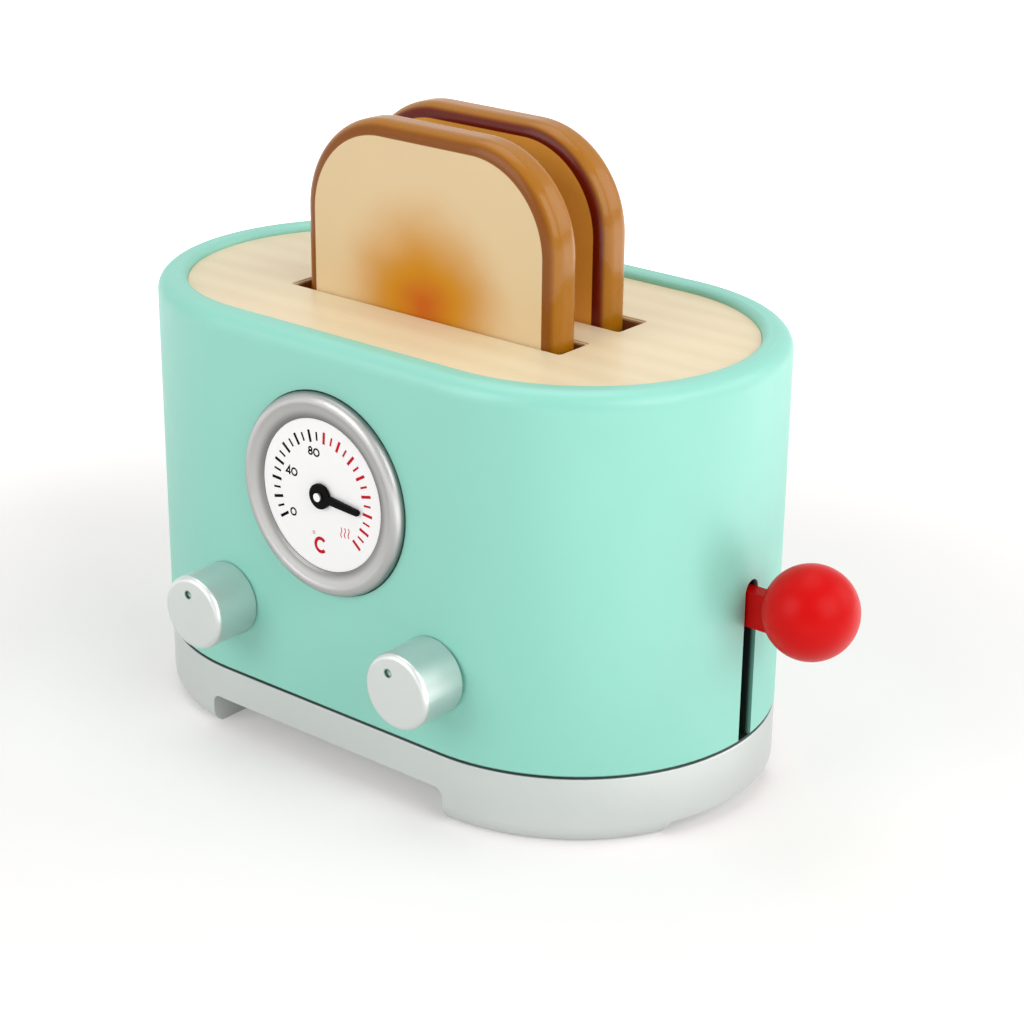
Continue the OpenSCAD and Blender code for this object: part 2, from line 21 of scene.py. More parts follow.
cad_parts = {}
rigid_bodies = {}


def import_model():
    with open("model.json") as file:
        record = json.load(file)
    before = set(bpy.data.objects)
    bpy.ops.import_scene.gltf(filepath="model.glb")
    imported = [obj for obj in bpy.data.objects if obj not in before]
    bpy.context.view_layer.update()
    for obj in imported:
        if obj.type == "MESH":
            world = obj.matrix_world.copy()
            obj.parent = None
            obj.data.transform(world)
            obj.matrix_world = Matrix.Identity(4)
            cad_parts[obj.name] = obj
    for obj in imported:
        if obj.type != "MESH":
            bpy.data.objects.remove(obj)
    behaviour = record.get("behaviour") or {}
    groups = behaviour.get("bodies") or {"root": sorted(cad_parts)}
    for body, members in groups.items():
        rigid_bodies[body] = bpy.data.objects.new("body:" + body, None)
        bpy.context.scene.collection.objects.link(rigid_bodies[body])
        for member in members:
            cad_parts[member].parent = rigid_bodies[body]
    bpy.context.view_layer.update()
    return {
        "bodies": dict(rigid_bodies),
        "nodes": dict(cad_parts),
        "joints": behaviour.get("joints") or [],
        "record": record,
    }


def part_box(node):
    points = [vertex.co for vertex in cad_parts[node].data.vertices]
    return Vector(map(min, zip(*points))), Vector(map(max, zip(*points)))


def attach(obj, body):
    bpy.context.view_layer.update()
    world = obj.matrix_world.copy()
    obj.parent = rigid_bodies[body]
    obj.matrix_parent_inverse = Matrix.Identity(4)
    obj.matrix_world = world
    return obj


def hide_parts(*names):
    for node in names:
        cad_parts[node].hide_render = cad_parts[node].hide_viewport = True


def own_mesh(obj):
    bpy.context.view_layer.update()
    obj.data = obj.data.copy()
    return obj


LOG = logging.getLogger("toy_toaster")
MM = 0.001
IMAGE_SIDE = 1024
SENSOR = 36.0

Colour = tuple[float, float, float]
Point = tuple[float, float]
Node = bpy.types.Node
Socket = bpy.types.NodeSocket

WHITE: Colour = (1.0, 1.0, 1.0)


def srgb(red: int, green: int, blue: int) -> Colour:
    """Turn a display colour into the linear values that a shader wants.

    Args:
        red: Red, 0 to 255.
        green: Green, 0 to 255.
        blue: Blue, 0 to 255.

    Returns:
        The same colour in linear light.
    """

    def one(value: int) -> float:
        """Turn one channel into linear light."""
        share = value / 255
        return share / 12.92 if share <= 0.04045 else ((share + 0.055) / 1.055) ** 2.4

    return one(red), one(green), one(blue)


def dim(colour: Colour, share: float) -> Colour:
    """Scale a colour down to a share of its light."""
    return tuple(share * part for part in colour)


def stand(name: str, data: bpy.types.ID) -> bpy.types.Object:
    """Put a new object in the scene.

    Args:
        name: Its name.
        data: Its mesh, lamp or camera.

    Returns:
        The new object.
    """
    made = bpy.data.objects.new(name, data)
    bpy.context.scene.collection.objects.link(made)
    return made


# ---------- node trees


class Kind(Enum):
    """Kinds of socket that the node groups have."""

    NUMBER = "NodeSocketFloat"
    WHOLE = "NodeSocketInt"
    COLOUR = "NodeSocketColor"
    VECTOR = "NodeSocketVector"
    GEOMETRY = "NodeSocketGeometry"
    MATERIAL = "NodeSocketMaterial"


def amounts(*names: str) -> dict[str, Kind]:
    """Number sockets with these names."""
    return dict.fromkeys(names, Kind.NUMBER)


class Tree:
    """Short-hand for building a shader or geometry node tree."""

    def __init__(self, tree: bpy.types.NodeTree) -> None:
        """Keep the tree that is being built."""
        self.tree = tree

    @classmethod
    def of(cls, owner: bpy.types.Material | bpy.types.World) -> Tree:
        """Turn on an owner's nodes and empty its tree.

        Args:
            owner: The material or the world.

        Returns:
            Its tree.
        """
        owner.use_nodes = True
        owner.node_tree.nodes.clear()
        return cls(owner.node_tree)

    def add(
        self, kind: str, inputs: dict[str | int, object] | None = None, **settings: object
    ) -> Node:
        """Add a node, set its options and feed its inputs.

        Args:
            kind: Blender's type name of the node.
            inputs: Values or sockets for its inputs, by name or by number.
            **settings: Options of the node itself.

        Returns:
            The new node.
        """
        node = self.tree.nodes.new(kind)
        for name, value in settings.items():
            setattr(node, name, value)
        self.fill(node, inputs or {})
        return node

    def fill(self, node: Node, inputs: dict[str | int, object]) -> None:
        """Feed inputs of a node by name or by number, each from a socket or with a plain value."""
        for key, value in inputs.items():
            self.feed(node.inputs[key], value)

    def feed(self, socket: Socket, value: object) -> None:
        """Link a socket to another one, or set its value.

        Args:
            socket: The input to feed.
            value: A socket to link from, or a plain value.
        """
        if isinstance(value, Socket):
            self.tree.links.new(value, socket)
        elif isinstance(value, tuple) and len(value) == 3 and socket.type == "RGBA":
            socket.default_value = (*value, 1.0)
        else:
            socket.default_value = value

    def math(self, operation: str, *values: object, clamp: bool = False) -> Socket:
        """Add a Math node with one to three inputs, held between 0 and 1 where it is clamped."""
        inputs = dict(enumerate(values))
        return self.add("ShaderNodeMath", inputs, operation=operation, use_clamp=clamp).outputs[0]

    def length(self, *values: object) -> Socket:
        """Length of two distances that are at right angles."""
        squares = [self.math("POWER", value, 2.0) for value in values]
        return self.math("SQRT", self.math("ADD", *squares))

    def parts(self, place: Socket) -> Sequence[Socket]:
        """Split coordinates into the sockets of their X, Y and Z."""
        return self.add("ShaderNodeSeparateXYZ", {0: place}).outputs

    def combine(self, **parts: object) -> Socket:
        """Combine X, Y and Z, of which any may be left out, into coordinates."""
        return self.add("ShaderNodeCombineXYZ", parts).outputs[0]

    def ramp(
        self, value: object, start: float, end: float, low: float = 0.0, high: float = 1.0
    ) -> Socket:
        """Turn a value smoothly from low to high between two marks.

        Args:
            value: The socket that is read.
            start: Where the turn starts.
            end: Where it ends.
            low: Result before the start.
            high: Result after the end.

        Returns:
            The result's socket.
        """
        names = ("Value", "From Min", "From Max", "To Min", "To Max")
        inputs = dict(zip(names, (value, start, end, low, high)))
        node = self.add("ShaderNodeMapRange", inputs, interpolation_type="SMOOTHSTEP")
        return node.outputs["Result"]

    def mix(self, share: object, first: object, second: object) -> Socket:
        """Mix two colours by the share of the second one."""
        # The Mix node keeps its colours in its inputs 6 and 7 and its output 2
        inputs = {0: share, 6: first, 7: second}
        return self.add("ShaderNodeMix", inputs, data_type="RGBA").outputs[2]

    def noise(
        self, vector: object, scale: object = 1.0, detail: float = 3.0, roughness: float = 0.5
    ) -> Socket:
        """Add a noise pattern by its scale per metre, its finer layers and their strength."""
        values = {"Vector": vector, "Scale": scale, "Detail": detail, "Roughness": roughness}
        return self.add("ShaderNodeTexNoise", values).outputs[0]

    def stretch(self, vector: object, scale: tuple[float, float, float]) -> Socket:
        """Stretch coordinates by a factor for each axis."""
        return self.add("ShaderNodeMapping", {"Vector": vector, "Scale": scale}).outputs[0]


class Surface(Tree):
    """A material's tree, with its shader and the coordinates that its finish reads."""

    def __init__(self, tree: bpy.types.NodeTree) -> None:
        """Put the shader in the tree.

        Args:
            tree: The material's empty node tree.
        """
        super().__init__(tree)
        self.shader = self.add("ShaderNodeBsdfPrincipled")
        self.add("ShaderNodeOutputMaterial", {"Surface": self.shader.outputs[0]})
        self.place = self.add("ShaderNodeTexCoord").outputs["Object"]

    def from_axis(self, axis: Point) -> Socket:
        """Distance from an axis along Y that is given by its X and Z."""
        across, _, up = self.parts(self.place)
        return self.length(*(self.math("SUBTRACT", *pair) for pair in zip((across, up), axis)))

    def bump(self, height: object, strength: float, depth: float) -> None:
        """Feed a height to the shader as a bump, by its strength and its depth in metres."""
        inputs = {"Strength": strength, "Distance": depth, "Height": height}
        self.fill(self.shader, {"Normal": self.add("ShaderNodeBump", inputs).outputs[0]})


class Group:
    """A node group with named inputs, built once and then reused."""

    name: str = ""
    kind: str = "ShaderNodeTree"
    inputs: dict[str, Kind] = {}
    outputs: dict[str, Kind] = {"Colour": Kind.COLOUR, **amounts("Roughness", "Height")}

    def build(self) -> bpy.types.NodeTree:
        """Make the group, or find it when it was made before.

        Returns:
            The group's node tree.
        """
        found = bpy.data.node_groups.get(self.name)
        if found is not None:
            return found
        group = bpy.data.node_groups.new(self.name, self.kind)
        for way, sockets in (("OUTPUT", self.outputs), ("INPUT", self.inputs)):
            for name, kind in sockets.items():
                group.interface.new_socket(name=name, in_out=way, socket_type=kind.value)
        tree = Tree(group)
        source = tree.add("NodeGroupInput")
        self.wire(tree, source.outputs, tree.add("NodeGroupOutput"))
        return group

    def wire(self, tree: Tree, get: Sequence[Socket], sink: Node) -> None:
        """Lay the nodes between the sockets of the group's inputs and its output node."""
        raise NotImplementedError

    def place(self, tree: Tree, **values: object) -> Sequence[Socket]:
        """Place the group in a material and fill its inputs, named with underscores for spaces."""
        inputs = {name.replace("_", " ").capitalize(): value for name, value in values.items()}
        return tree.add("ShaderNodeGroup", inputs, node_tree=self.build()).outputs


class PaintSkin(Group):
    """Sprayed paint on wood: fine orange peel, faint clouds and the grain that shows through."""

    name = "paint_skin"
    inputs = {
        "Vector": Kind.VECTOR,
        "Colour": Kind.COLOUR,
        **amounts("Cloud", "Roughness", "Peel size", "Grain"),
    }
    fibres = (70, 900, 900)
    unevenness = 0.14

    def wire(self, tree: Tree, get: Sequence[Socket], sink: Node) -> None:
        """Lay the nodes of the paint's skin.

        Args:
            tree: The group's tree.
            get: Sockets of its inputs, by name.
            sink: Its output node.
        """
        cloud = tree.noise(get["Vector"], scale=38, detail=4, roughness=0.55)
        shade = tree.math("MULTIPLY_ADD", tree.math("SUBTRACT", cloud, 0.5), get["Cloud"], 1.0)
        inputs = {0: get["Colour"], "Scale": shade}
        colour = tree.add("ShaderNodeVectorMath", inputs, operation="SCALE").outputs[0]
        patches = tree.math("SUBTRACT", tree.noise(get["Vector"], scale=150, detail=2), 0.5)
        rough = tree.math("MULTIPLY_ADD", patches, self.unevenness, get["Roughness"])
        peel = tree.noise(get["Vector"], scale=get["Peel size"], detail=2)
        fibres = tree.noise(tree.stretch(get["Vector"], self.fibres), roughness=0.6)
        height = tree.math("MULTIPLY_ADD", fibres, get["Grain"], peel)
        tree.fill(sink, {"Colour": colour, "Roughness": rough, "Height": height})


class WoodGrain(Group):
    """Pale close-grained wood, with growth lines along X, short flecks and soft clouds."""

    name = "wood_grain"
    inputs = {
        "Vector": Kind.VECTOR,
        "Light": Kind.COLOUR,
        "Dark": Kind.COLOUR,
        **amounts("Contrast", "Roughness"),
    }
    clouds = (9, 26, 26)
    rings = (1.2, 34, 34)
    flecks = (110, 1500, 1500)
    pores = (0.56, 0.7)
    wave = {"Scale": 1.0, "Distortion": 5.0, "Detail": 3.0, "Detail Scale": 1.2}

    def wire(self, tree: Tree, get: Sequence[Socket], sink: Node) -> None:
        """Lay the nodes of the wood's grain.

        Args:
            tree: The group's tree.
            get: Sockets of its inputs, by name.
            sink: Its output node.
        """
        drift = tree.noise(tree.stretch(get["Vector"], self.clouds), roughness=0.55)
        inputs = {"Vector": tree.stretch(get["Vector"], self.rings), **self.wave}
        lines = tree.add("ShaderNodeTexWave", inputs, wave_type="BANDS", bands_direction="Y")
        fleck = tree.noise(tree.stretch(get["Vector"], self.flecks), roughness=0.65)
        pore = tree.ramp(fleck, *self.pores)
        share = tree.math("MULTIPLY_ADD", drift, 0.55, tree.math("MULTIPLY", lines.outputs[1], 0.3))
        share = tree.math("MULTIPLY_ADD", pore, 0.22, share)
        share = tree.math("MULTIPLY", share, get["Contrast"], clamp=True)
        looks = {
            "Colour": tree.mix(share, get["Light"], get["Dark"]),
            "Roughness": tree.math("MULTIPLY_ADD", pore, 0.12, get["Roughness"]),
            "Height": tree.math("SUBTRACT", 1.0, tree.math("MULTIPLY_ADD", pore, 0.6, fleck)),
        }
        tree.fill(sink, looks)


class SliceOutline(Group):
    """Distance from the outline of a board with round shoulders, negative inside it."""

    name = "slice_outline"
    inputs = amounts("Across", "Up", "Half width", "Half height", "Upper round", "Lower round")
    outputs = amounts("Distance")

    def wire(self, tree: Tree, get: Sequence[Socket], sink: Node) -> None:
        """Lay the nodes of the outline's distance.

        Args:
            tree: The group's tree.
            get: Sockets of its inputs, by name.
            sink: Its output node.
        """
        upper = tree.math("GREATER_THAN", get["Up"], 0.0)
        spread = tree.math("SUBTRACT", get["Upper round"], get["Lower round"])
        corner = tree.math("MULTIPLY_ADD", upper, spread, get["Lower round"])
        reach: list[Socket] = []
        for place, half in (("Across", "Half width"), ("Up", "Half height")):
            past = tree.math("SUBTRACT", tree.math("ABSOLUTE", get[place]), get[half])
            reach.append(tree.math("ADD", past, corner))
        inside = tree.math("MINIMUM", tree.math("MAXIMUM", *reach), 0.0)
        outside = tree.length(*(tree.math("MAXIMUM", part, 0.0) for part in reach))
        away = tree.math("ADD", inside, outside)
        tree.fill(sink, {"Distance": tree.math("SUBTRACT", away, corner)})


PAINT_SKIN = PaintSkin()
WOOD_GRAIN = WoodGrain()
SLICE_OUTLINE = SliceOutline()


# ---------- finishes


class Sheen(Enum):
    """Roughness of the finishes used on the toy."""

    SATIN = 0.36
    SILK = 0.45
    MATT = 0.62


@dataclass(frozen=True)
class Finish:
    """A surface finish that becomes one material."""

    name: str

    def material(self) -> bpy.types.Material:
        """Build the material, or find it when it was built before.

        Returns:
            The material.
        """
        found = bpy.data.materials.get(self.name)
        if found is not None:
            return found
        made = bpy.data.materials.new(self.name)
        self.wire(Surface.of(made))
        return made

    def wire(self, tree: Surface) -> None:
        """Lay the nodes that feed the shader."""
        raise NotImplementedError


@dataclass(frozen=True)
class Paint(Finish):
    """Sprayed paint in one colour."""

    colour: Colour
    sheen: Sheen = Sheen.SATIN
    metallic: float = 0.0
    cloud: float = 0.04
    grain: float = 0.3
    peel: float = 900.0
    depth: float = 0.03 * MM
    gleam: float = 0.5

    def wire(self, tree: Surface) -> None:
        """Lay the nodes of the paint.

        Args:
            tree: The material's tree.
        """
        skin = PAINT_SKIN.place(
            tree,
            vector=tree.place,
            colour=self.tint(tree),
            cloud=self.cloud,
            roughness=self.sheen.value,
            peel_size=self.peel,
            grain=self.grain,
        )
        looks = {
            "Base Color": skin["Colour"],
            "Roughness": skin["Roughness"],
            "Metallic": self.metallic,
            "Specular IOR Level": self.gleam,
        }
        tree.fill(tree.shader, looks)
        tree.bump(skin["Height"], strength=0.5, depth=self.depth)

    def tint(self, tree: Surface) -> object:
        """Colour of the paint, plain or as a socket, which a finish may vary with the place."""
        return self.colour


@dataclass(frozen=True)
class ShellPaint(Paint):
    """The shell's paint, which turns to painted shade a little way inside the lever's slot and along
    the joint with the base.
    """

    straight: float = 35 * MM
    radius: float = 50 * MM
    depths: Point = (0.2 * MM, 1.7 * MM)
    heights: Point = (95 * MM, 98 * MM)
    seam_shade: Point = (17.55 * MM, 17.7 * MM)
    # Colour of the painted shade in the slot and along the joint with the base
    dark: Colour = srgb(8, 26, 20)

    def tint(self, tree: Surface) -> Socket:
        """Colour of the paint by its depth below the outer surface and its height: painted shade deep
        in the slot and along the joint with the base.

        Args:
            tree: The material's tree.

        Returns:
            The colour's socket.
        """
        across, back, height = tree.parts(tree.place)
        past = tree.math("SUBTRACT", tree.math("ABSOLUTE", across), self.straight)
        reach = tree.length(tree.math("MAXIMUM", past, 0.0), back)
        # Painted shade inside the wall, in the lever's slot and the cavity, below the top
        inner = tree.ramp(tree.math("SUBTRACT", self.radius, reach), *self.depths)
        below = tree.ramp(height, *self.heights, 1.0, 0.0)
        # Painted shade along the joint with the base
        seam_shade = tree.ramp(height, *self.seam_shade, 1.0, 0.0)
        share = tree.math("MAXIMUM", tree.math("MULTIPLY", inner, below), seam_shade)
        return tree.mix(share, self.colour, self.dark)


@dataclass(frozen=True)
class BasePaint(Paint):
    """The base's paint, with a line of painted shade where the shell meets it."""

    seam_shade: Point = (16.95 * MM, 17.2 * MM)
    # Colour of the painted shade along the joint with the shell
    dark: Colour = srgb(40, 52, 50)

    def tint(self, tree: Surface) -> Socket:
        """Colour of the paint by its height, with painted shade at its top along the joint with the
        shell.
        """
        # Painted shade along the joint with the shell
        share = tree.ramp(tree.parts(tree.place)[2], *self.seam_shade)
        return tree.mix(share, self.colour, self.dark)


@dataclass(frozen=True)
class KnobPaint(Paint):
    """A knob's paint, with painted shade in the mark that is drilled in its face and a painted glint
    left at the mark's middle.
    """

    mark: Point = (0.0, 0.0)
    glint_core: Point = (0.1 * MM, 0.5 * MM)
    rim: Point = (1.05 * MM, 1.3 * MM)
    # Colour of the painted shade in the mark
    dark: Colour = srgb(128, 156, 148)

    def tint(self, tree: Surface) -> Socket:
        """Colour of the paint by its distance from the mark: painted shade in the mark's hollow, with
        a painted glint at its middle.

        Args:
            tree: The material's tree.

        Returns:
            The colour's socket.
        """
        away = tree.from_axis(self.mark)
        # Painted shade in the mark's hollow; its middle keeps the paint's colour as a painted glint
        hollow_shade = tree.ramp(away, *self.rim, 1.0, 0.0)
        glint = tree.ramp(away, *self.glint_core, 1.0, 0.0)
        share = tree.math("SUBTRACT", hollow_shade, glint, clamp=True)
        return tree.mix(share, self.colour, self.dark)


@dataclass(frozen=True)
class RingPaint(Paint):
    """The gauge ring's paint, with painted shade on both slopes and the crest left lighter as a
    painted highlight.
    """

    centre: Point = (0.0, 0.0)
    inner: Point = (18.9 * MM, 21.2 * MM)
    outer: Point = (24.2 * MM, 25.3 * MM)
    # Colour of the painted shade on both slopes
    slope_shade: Colour = srgb(126, 125, 122)

    def tint(self, tree: Surface) -> Socket:
        """Colour of the paint by its distance from the ring's axis.

        Args:
            tree: The material's tree.

        Returns:
            The colour's socket.
        """
        away = tree.from_axis(self.centre)
        # Painted highlight on the crest between the slopes, painted shade on both slopes
        rise = tree.ramp(away, *self.inner)
        fall = tree.ramp(away, *self.outer, 1.0, 0.0)
        return tree.mix(tree.math("MULTIPLY", rise, fall), self.slope_shade, self.colour)


@dataclass(frozen=True)
class Wood(Finish):
    """Bare or clear-varnished wood."""

    light: Colour
    dark: Colour
    contrast: float
    sheen: Sheen = Sheen.SILK
    coat: float = 0.0
    coat_roughness: float = 0.2
    depth: float = 0.04 * MM

    def wire(self, tree: Surface) -> None:
        """Lay the nodes of the wood.

        Args:
            tree: The material's tree.
        """
        grain = WOOD_GRAIN.place(
            tree,
            vector=tree.place,
            light=self.light,
            dark=self.dark,
            contrast=self.contrast,
            roughness=self.sheen.value,
        )
        looks = {
            "Base Color": self.tone(tree, grain["Colour"]),
            "Roughness": grain["Roughness"],
            "Coat Weight": self.coat,
            "Coat Roughness": self.coat_roughness,
        }
        tree.fill(tree.shader, looks)
        tree.bump(grain["Height"], strength=0.4, depth=self.depth)

    def tone(self, tree: Surface, colour: Socket) -> Socket:
        """Colour of the wood from its plain colour, which a finish may vary with the place."""
        return colour


@dataclass(frozen=True)
class SlottedWood(Wood):
    """The plate's wood, browner below a given height, on the walls of its slots."""

    heights: Point = (107.3 * MM, 108 * MM)
    slot_wall_brown: Colour = srgb(150, 92, 52)

    def tone(self, tree: Surface, colour: Socket) -> Socket:
        """Colour of the wood by its height."""
        # Browner below a given height
        share = tree.ramp(tree.parts(tree.place)[2], *self.heights, 1.0, 0.0)
        return tree.mix(share, colour, self.slot_wall_brown)


@dataclass(frozen=True)
class BreadPaint(Finish):
    """A slice's paint: brown crust all round, a pale front and a toasted patch low on it."""

    centre: Point
    half: Point
    face_y: float
    patch: Point
    rounds: Point = (25 * MM, 5 * MM)
    border: float = 3.7 * MM
    edge: float = 0.12 * MM
    face_depths: Point = (0.2 * MM, 0.6 * MM)
    rim_depths: Point = (0.4 * MM, 1.4 * MM)
    patch_size: Point = (27.5 * MM, 27 * MM)
    browning: Point = (0.3, 1.1)
    scorching: Point = (0.0, 0.4)
    crust: Colour = srgb(170, 108, 12)
    crumb: Colour = srgb(234, 207, 163)
    toast: Colour = srgb(212, 142, 18)
    scorch: Colour = srgb(204, 94, 14)
    # Colour of the painted shade where the crust rounds over to the front
    rim: Colour = srgb(138, 76, 8)
    roughness: float = 0.28
    gleam: float = 0.18
    coat_roughness: float = 0.08

    def wire(self, tree: Surface) -> None:
        """Lay the nodes of the slice's paint.

        Args:
            tree: The material's tree.
        """
        across, back, up = tree.parts(tree.place)
        outline = SLICE_OUTLINE.place(
            tree,
            across=tree.math("SUBTRACT", across, self.centre[0]),
            up=tree.math("SUBTRACT", up, self.centre[1]),
            half_width=self.half[0],
            half_height=self.half[1],
            upper_round=self.rounds[0],
            lower_round=self.rounds[1],
        )["Distance"]
        inside = tree.ramp(outline, -self.border - self.edge, -self.border + self.edge, 1.0, 0.0)
        depth = tree.math("SUBTRACT", back, self.face_y)
        face = tree.math("MULTIPLY", inside, tree.ramp(depth, *self.face_depths, 1.0, 0.0))
        # Toasted patch: distance from its middle, made uneven by a slow noise
        offsets = (
            tree.math("MULTIPLY", tree.math("SUBTRACT", part, spot), 1.0 / size)
            for part, spot, size in zip((across, up), self.patch, self.patch_size)
        )
        drift = tree.math("SUBTRACT", tree.noise(tree.place, scale=55, detail=2), 0.5)
        away = tree.math("MULTIPLY_ADD", drift, 0.3, tree.length(*offsets))
        browned = tree.ramp(away, *self.browning, 1.0, 0.0)
        scorched = tree.ramp(away, *self.scorching, 0.9, 0.0)
        crumb = tree.mix(scorched, tree.mix(browned, self.crumb, self.toast), self.scorch)
        # Painted shade: the crust is darker where it rounds over to the front
        shaded_rounding = tree.ramp(depth, *self.rim_depths, 1.0, 0.0)
        skin = PAINT_SKIN.place(
            tree,
            vector=tree.place,
            colour=tree.mix(face, tree.mix(shaded_rounding, self.crust, self.rim), crumb),
            cloud=0.08,
            roughness=self.roughness,
            peel_size=700.0,
            grain=0.5,
        )
        looks = {
            "Base Color": skin["Colour"],
            "Roughness": tree.math("MULTIPLY_ADD", face, 0.16, skin["Roughness"]),
            "Specular IOR Level": self.gleam,
            "Coat Roughness": self.coat_roughness,
            "Coat Weight": tree.math("MULTIPLY_ADD", shaded_rounding, -0.16, 0.26),
        }
        tree.fill(tree.shader, looks)
        tree.bump(skin["Height"], strength=0.5, depth=0.03 * MM)


@dataclass(frozen=True)
class Metal(Finish):
    """Plain metal with fine turning marks."""

    colour: Colour
    sheen: Sheen = Sheen.SATIN
    turning: tuple[float, float, float] = (400, 400, 4000)
    wear: float = 0.16

    def wire(self, tree: Surface) -> None:
        """Lay the nodes of the metal.

        Args:
            tree: The material's tree.
        """
        marks = tree.noise(tree.stretch(tree.place, self.turning), detail=2)
        dull = tree.noise(tree.place, scale=260)
        smooth = self.sheen.value - self.wear / 2
        looks = {
            "Metallic": 1.0,
            "Base Color": tree.mix(dull, dim(self.colour, 0.82), self.colour),
            "Roughness": tree.math("MULTIPLY_ADD", marks, self.wear, smooth),
        }
        tree.fill(tree.shader, looks)
        tree.bump(marks, strength=0.3, depth=0.01 * MM)


@dataclass(frozen=True)
class Moulded(Finish):
    """Moulded plastic, rubber or printing ink with a very fine texture."""

    colour: Colour
    sheen: Sheen = Sheen.SATIN
    speck: float = 2600.0
    gleam: float = 0.5
    mottle: float = 0.04
    wear: float = 0.12
    coat: float = 0.0
    coat_roughness: float = 0.3

    def wire(self, tree: Surface) -> None:
        """Lay the nodes of the plastic.

        Args:
            tree: The material's tree.
        """
        fine = tree.noise(tree.place, scale=self.speck, detail=2)
        slow = tree.noise(tree.place, scale=60)
        smooth = self.sheen.value - self.wear / 2
        looks = {
            "Base Color": tree.mix(slow, self.colour, dim(self.colour, 1.0 - self.mottle)),
            "Roughness": tree.math("MULTIPLY_ADD", slow, self.wear, smooth),
            "Specular IOR Level": self.gleam,
            "Coat Weight": self.coat,
            "Coat Roughness": self.coat_roughness,
        }
        tree.fill(tree.shader, looks)
        tree.bump(fine, strength=0.3, depth=0.01 * MM)


@dataclass(frozen=True)
class Felt(Finish):
    """Pressed grey felt."""

    colour: Colour
    fuzz: float = 0.4

    def wire(self, tree: Surface) -> None:
        """Lay the nodes of the felt.

        Args:
            tree: The material's tree.
        """
        tangle = tree.noise(tree.place, scale=2400, detail=5, roughness=0.7)
        looks = {
            "Base Color": tree.mix(tangle, dim(self.colour, 0.6), self.colour),
            "Roughness": tree.math("MULTIPLY_ADD", tangle, 0.1, 0.85),
            "Sheen Weight": self.fuzz,
        }
        tree.fill(tree.shader, looks)
        tree.bump(tangle, strength=0.8, depth=0.2 * MM)


MINT = ShellPaint(
    "mint_enamel", colour=srgb(139, 214, 196), sheen=Sheen.SILK, cloud=0.03, grain=0.25, gleam=1.0
)
SILVER = BasePaint(
    "silver_enamel", colour=srgb(206, 211, 209), metallic=0.5, cloud=0.06, grain=0.6, peel=1600.0
)
RED = Paint(
    "lever_red", colour=srgb(212, 10, 10), cloud=0.02, grain=0.0, peel=1400.0, gleam=0.12
)
MAPLE = SlottedWood(
    "varnished_maple",
    light=srgb(241, 226, 192),
    dark=srgb(216, 190, 142),
    contrast=0.55,
    coat=0.15,
)
BARE_WOOD = Wood(
    "sanded_wood",
    light=srgb(228, 206, 168),
    dark=srgb(190, 156, 110),
    contrast=0.8,
    sheen=Sheen.MATT,
)
STEEL = Metal("zinc_steel", colour=(0.62, 0.63, 0.65))
DIAL_WHITE = Moulded(
    "dial_white", colour=srgb(254, 254, 254), sheen=Sheen.SILK, gleam=1.0, mottle=0.0, coat=1.0
)
PIN_SILVER = Metal("pin_metal", colour=(0.86, 0.87, 0.88), sheen=Sheen.SILK)
POINTER_BLACK = Moulded("pointer_black", colour=srgb(4, 4, 5), gleam=0.05)
INK_BLACK = Moulded("ink_black", colour=srgb(6, 6, 8), sheen=Sheen.MATT, gleam=0.05)
INK_RED = Moulded("ink_red", colour=srgb(204, 20, 42), sheen=Sheen.MATT, gleam=0.1)
SLEEVE_WHITE = Moulded("sleeve_white", colour=(0.8, 0.8, 0.78), sheen=Sheen.SILK)
RUBBER = Moulded("ring_rubber", colour=(0.05, 0.05, 0.05), sheen=Sheen.MATT, speck=1400.0)
FELT = Felt("pad_felt", colour=(0.09, 0.09, 0.1))


# ---------- sub-assemblies


def middle(node: str) -> Vector:
    """Middle of a node's box."""
    low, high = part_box(node)
    return (low + high) / 2


@dataclass
class Assembly:
    """A group of pieces that is dressed together."""

    frame: dict

    def dress(self, node: str, finish: Finish) -> None:
        """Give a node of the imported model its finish.

        Args:
            node: The node's name.
            finish: Its finish.
        """
        mesh = self.frame["nodes"][node].data
        mesh.materials.clear()
        mesh.materials.append(finish.material())
        LOG.info("%s: %s", node, finish.name)

    def add(self, mesh: bpy.types.Mesh, body: str, slot: str) -> bpy.types.Object:
        """Put a finished mesh in the scene, on the body that carries it.

        Args:
            mesh: The finished mesh, with its place in its points.
            body: Name of the body.
            slot: The record's material slot; not used.

        Returns:
            The new object.
        """
        piece = stand(mesh.name, mesh)
        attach(piece, body)
        LOG.info("%s: %d faces on %s", piece.name, len(mesh.polygons), body)
        return piece

    def build(self) -> None:
        """Dress the assembly's nodes and add its pieces."""
        raise NotImplementedError


@dataclass
class Housing(Assembly):
    """Painted shell, silver base, wooden plate and the screws between them."""

    def build(self) -> None:
        """Dress the housing."""
        self.dress("body_shell", MINT)
        self.dress("base", SILVER)
        self.dress("top_plate", MAPLE)
        self.dress("base_screws", STEEL)


@dataclass
class Slices(Assembly):
    """The two slices of bread."""

    patch: Point = (-0.5 * MM, 112 * MM)
    # The back slice's crumb and crust edge are painted shade, tinted golden by light bouncing off the
    # front slice in the gap between them
    gap_shaded_crumb: Colour = srgb(238, 172, 72)
    dark_rim: Colour = srgb(104, 22, 2)

    def build(self) -> None:
        """Dress both slices, each about its own middle."""
        # Painted shade and bounce light for the back slice, which stands in the gap behind the front
        # slice
        back = {"crumb": self.gap_shaded_crumb, "rim": self.dark_rim}
        for node, looks in (("toast_front", {}), ("toast_back", back)):
            low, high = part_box(node)
            centre = middle(node)
            finish = BreadPaint(
                f"{node}_enamel",
                centre=tuple(centre.xz),
                half=((high.x - low.x) / 2, (high.z - low.z) / 2),
                face_y=low.y,
                patch=(self.patch[0] + centre.x, self.patch[1]),
                **looks,
            )
            self.dress(node, finish)


